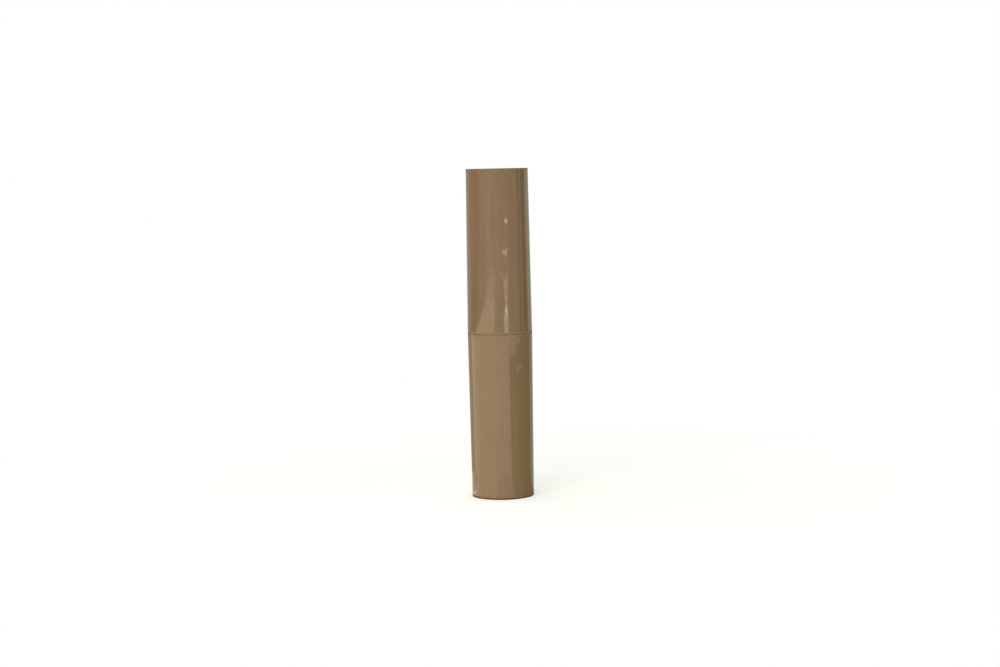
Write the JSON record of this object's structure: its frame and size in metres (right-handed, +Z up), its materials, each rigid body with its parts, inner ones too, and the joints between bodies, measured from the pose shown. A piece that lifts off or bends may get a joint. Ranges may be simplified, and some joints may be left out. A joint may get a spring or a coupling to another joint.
{
  "type": "lipstick",
  "caption": "Slim round twist-up lipstick: drafted cap and base shell meeting in a fine seam, with collar, spiral sleeve, slotted tube, friction ring, cup and bullet inside.",
  "frame": {"origin": "centre of the ring that the base shell stands on", "axes": "+Z up along the stick's axis, towards the cap; -Y is the front, where the bullet's slanted face is lowest; +X is to the right seen from the front"},
  "size_m": [0.0154, 0.0154, 0.0783],
  "materials": {
    "base_plastic": "satin-gloss moulded plastic, taupe",
    "cap_plastic": "satin-gloss moulded plastic, taupe, a touch darker than the base",
    "collar_plastic": "polished moulded plastic, taupe",
    "tube_plastic": "moulded plastic, taupe",
    "sleeve_plastic": "natural moulded plastic",
    "cup_plastic": "natural moulded plastic",
    "ring_rubber": "black rubber",
    "bullet_wax": "cast lip colour, soft waxy sheen"
  },
  "bodies": {
    "base": {"base_shell": "base_plastic", "slotted_tube": "tube_plastic", "friction_ring": "ring_rubber"},
    "collar": {"collar": "collar_plastic", "spiral_sleeve": "sleeve_plastic"},
    "carrier": {"cup": "cup_plastic", "bullet": "bullet_wax"},
    "cap": {"cap": "cap_plastic"}
  },
  "joints": [
    {"name": "twist", "type": "hinge", "parent": "base", "child": "collar", "pos_m": [0, 0, 0.0392], "axis": [0, 0, -1], "range_deg": [0, 630]},
    {"name": "rise", "type": "slide", "parent": "base", "child": "carrier", "axis": [0, 0, 1], "range_m": [0, 0.021]},
    {"name": "cap_lift", "type": "slide", "parent": "collar", "child": "cap", "axis": [0, 0, 1], "range_m": [0, 0.045]}
  ],
  "couplings": [
    {"joint": "twist", "follows": "rise", "rad_per_m": 523.6}
  ]
}
